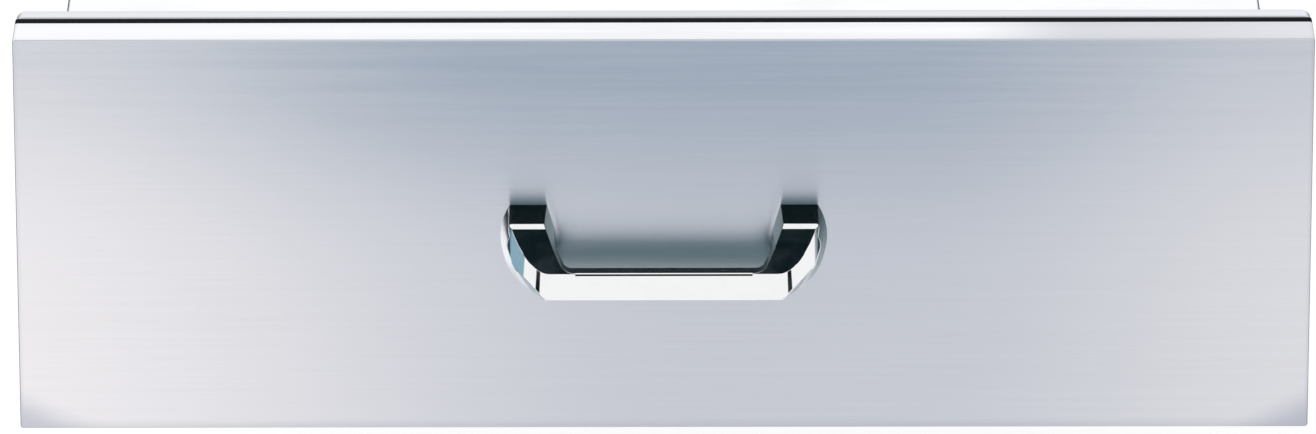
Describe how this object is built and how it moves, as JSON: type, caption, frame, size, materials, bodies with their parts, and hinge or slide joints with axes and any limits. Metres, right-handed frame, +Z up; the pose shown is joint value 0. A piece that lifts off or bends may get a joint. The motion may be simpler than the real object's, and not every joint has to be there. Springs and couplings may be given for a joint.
{
  "type": "outdoor kitchen drawer",
  "caption": "Built-in stainless drawer for an outdoor kitchen island: flanged housing, drawer box on full-extension ball slides, brushed double-walled front with a cast bar handle.",
  "frame": {"origin": "centre of the plane where the housing's flange meets the island's face, at the middle of its four screw holes", "axes": "+X to the right seen from the front, +Y back into the island along the drawer's travel, +Z up"},
  "size_m": [0.762, 0.626, 0.245],
  "materials": {
    "brushed_front": "fine horizontal brushed grain",
    "flange_steel": "fine horizontal brushed grain",
    "folded_steel": "mill-finished sheet",
    "polished_handle": "mirror polished",
    "gasket_rubber": "matt black",
    "buffer_rubber": "matt black",
    "lever_plastic": "moulded black",
    "plug_plastic": "moulded grey",
    "bearing_steel": "polished balls",
    "zinc_plated_steel": "bright zinc plate",
    "stainless_fasteners": "tumbled stainless"
  },
  "bodies": {
    "housing": {"end_buffer_left": "buffer_rubber", "end_buffer_right": "buffer_rubber", "flange_bottom": "flange_steel", "flange_left": "flange_steel", "flange_right": "flange_steel", "flange_top": "flange_steel", "housing_back": "folded_steel", "housing_bottom": "folded_steel", "housing_left_wall": "folded_steel", "housing_right_wall": "folded_steel", "housing_rivets": "stainless_fasteners", "housing_top": "folded_steel", "slide_outer_left": "zinc_plated_steel", "slide_outer_right": "zinc_plated_steel", "slide_rivets": "stainless_fasteners"},
    "drawer": {"box_back_panel": "folded_steel", "box_floor": "folded_steel", "box_front_panel": "folded_steel", "box_left": "folded_steel", "box_right": "folded_steel", "box_rivets": "stainless_fasteners", "front_fixing_screws": "stainless_fasteners", "front_liner": "folded_steel", "front_rivet_nuts": "stainless_fasteners", "front_skin": "brushed_front", "gasket_bottom": "gasket_rubber", "gasket_left": "gasket_rubber", "gasket_right": "gasket_rubber", "gasket_top": "gasket_rubber", "handle": "polished_handle", "handle_fixing_screws": "stainless_fasteners", "handle_stiffener": "folded_steel", "lever_pin_left": "zinc_plated_steel", "lever_pin_right": "zinc_plated_steel", "liner_plugs": "plug_plastic", "slide_inner_left": "zinc_plated_steel", "slide_inner_right": "zinc_plated_steel", "slide_screws_left": "stainless_fasteners", "slide_screws_right": "stainless_fasteners"},
    "middle_member_left": {"slide_middle_left": "zinc_plated_steel"},
    "outer_row_left": {"balls_outer_left": "bearing_steel", "cage_outer_left": "zinc_plated_steel"},
    "inner_row_left": {"balls_inner_left": "bearing_steel", "cage_inner_left": "zinc_plated_steel"},
    "lever_left": {"release_lever_left": "lever_plastic"},
    "middle_member_right": {"slide_middle_right": "zinc_plated_steel"},
    "outer_row_right": {"balls_outer_right": "bearing_steel", "cage_outer_right": "zinc_plated_steel"},
    "inner_row_right": {"balls_inner_right": "bearing_steel", "cage_inner_right": "zinc_plated_steel"},
    "lever_right": {"release_lever_right": "lever_plastic"}
  },
  "joints": [
    {"name": "drawer_slide", "type": "slide", "parent": "housing", "child": "drawer", "axis": [0, -1, 0], "range_m": [0, 0.48]},
    {"name": "middle_member_left_slide", "type": "slide", "parent": "housing", "child": "middle_member_left", "axis": [0, -1, 0], "range_m": [0, 0.24]},
    {"name": "outer_row_left_slide", "type": "slide", "parent": "housing", "child": "outer_row_left", "axis": [0, -1, 0], "range_m": [0, 0.12]},
    {"name": "inner_row_left_slide", "type": "slide", "parent": "housing", "child": "inner_row_left", "axis": [0, -1, 0], "range_m": [0, 0.36]},
    {"name": "middle_member_right_slide", "type": "slide", "parent": "housing", "child": "middle_member_right", "axis": [0, -1, 0], "range_m": [0, 0.24]},
    {"name": "outer_row_right_slide", "type": "slide", "parent": "housing", "child": "outer_row_right", "axis": [0, -1, 0], "range_m": [0, 0.12]},
    {"name": "inner_row_right_slide", "type": "slide", "parent": "housing", "child": "inner_row_right", "axis": [0, -1, 0], "range_m": [0, 0.36]},
    {"name": "release_lever_left_tilt", "type": "hinge", "parent": "drawer", "child": "lever_left", "pos_m": [-0.3458, 0.101, -0.01], "axis": [-1, 0, 0], "range_deg": [0, 8], "stiffness_Nm_per_rad": 0.05},
    {"name": "release_lever_right_tilt", "type": "hinge", "parent": "drawer", "child": "lever_right", "pos_m": [0.3458, 0.101, -0.01], "axis": [-1, 0, 0], "range_deg": [0, 8], "stiffness_Nm_per_rad": 0.05}
  ],
  "couplings": [
    {"joint": "middle_member_left_slide", "follows": "drawer_slide", "ratio": 0.5},
    {"joint": "outer_row_left_slide", "follows": "drawer_slide", "ratio": 0.25},
    {"joint": "inner_row_left_slide", "follows": "drawer_slide", "ratio": 0.75},
    {"joint": "middle_member_right_slide", "follows": "drawer_slide", "ratio": 0.5},
    {"joint": "outer_row_right_slide", "follows": "drawer_slide", "ratio": 0.25},
    {"joint": "inner_row_right_slide", "follows": "drawer_slide", "ratio": 0.75}
  ]
}
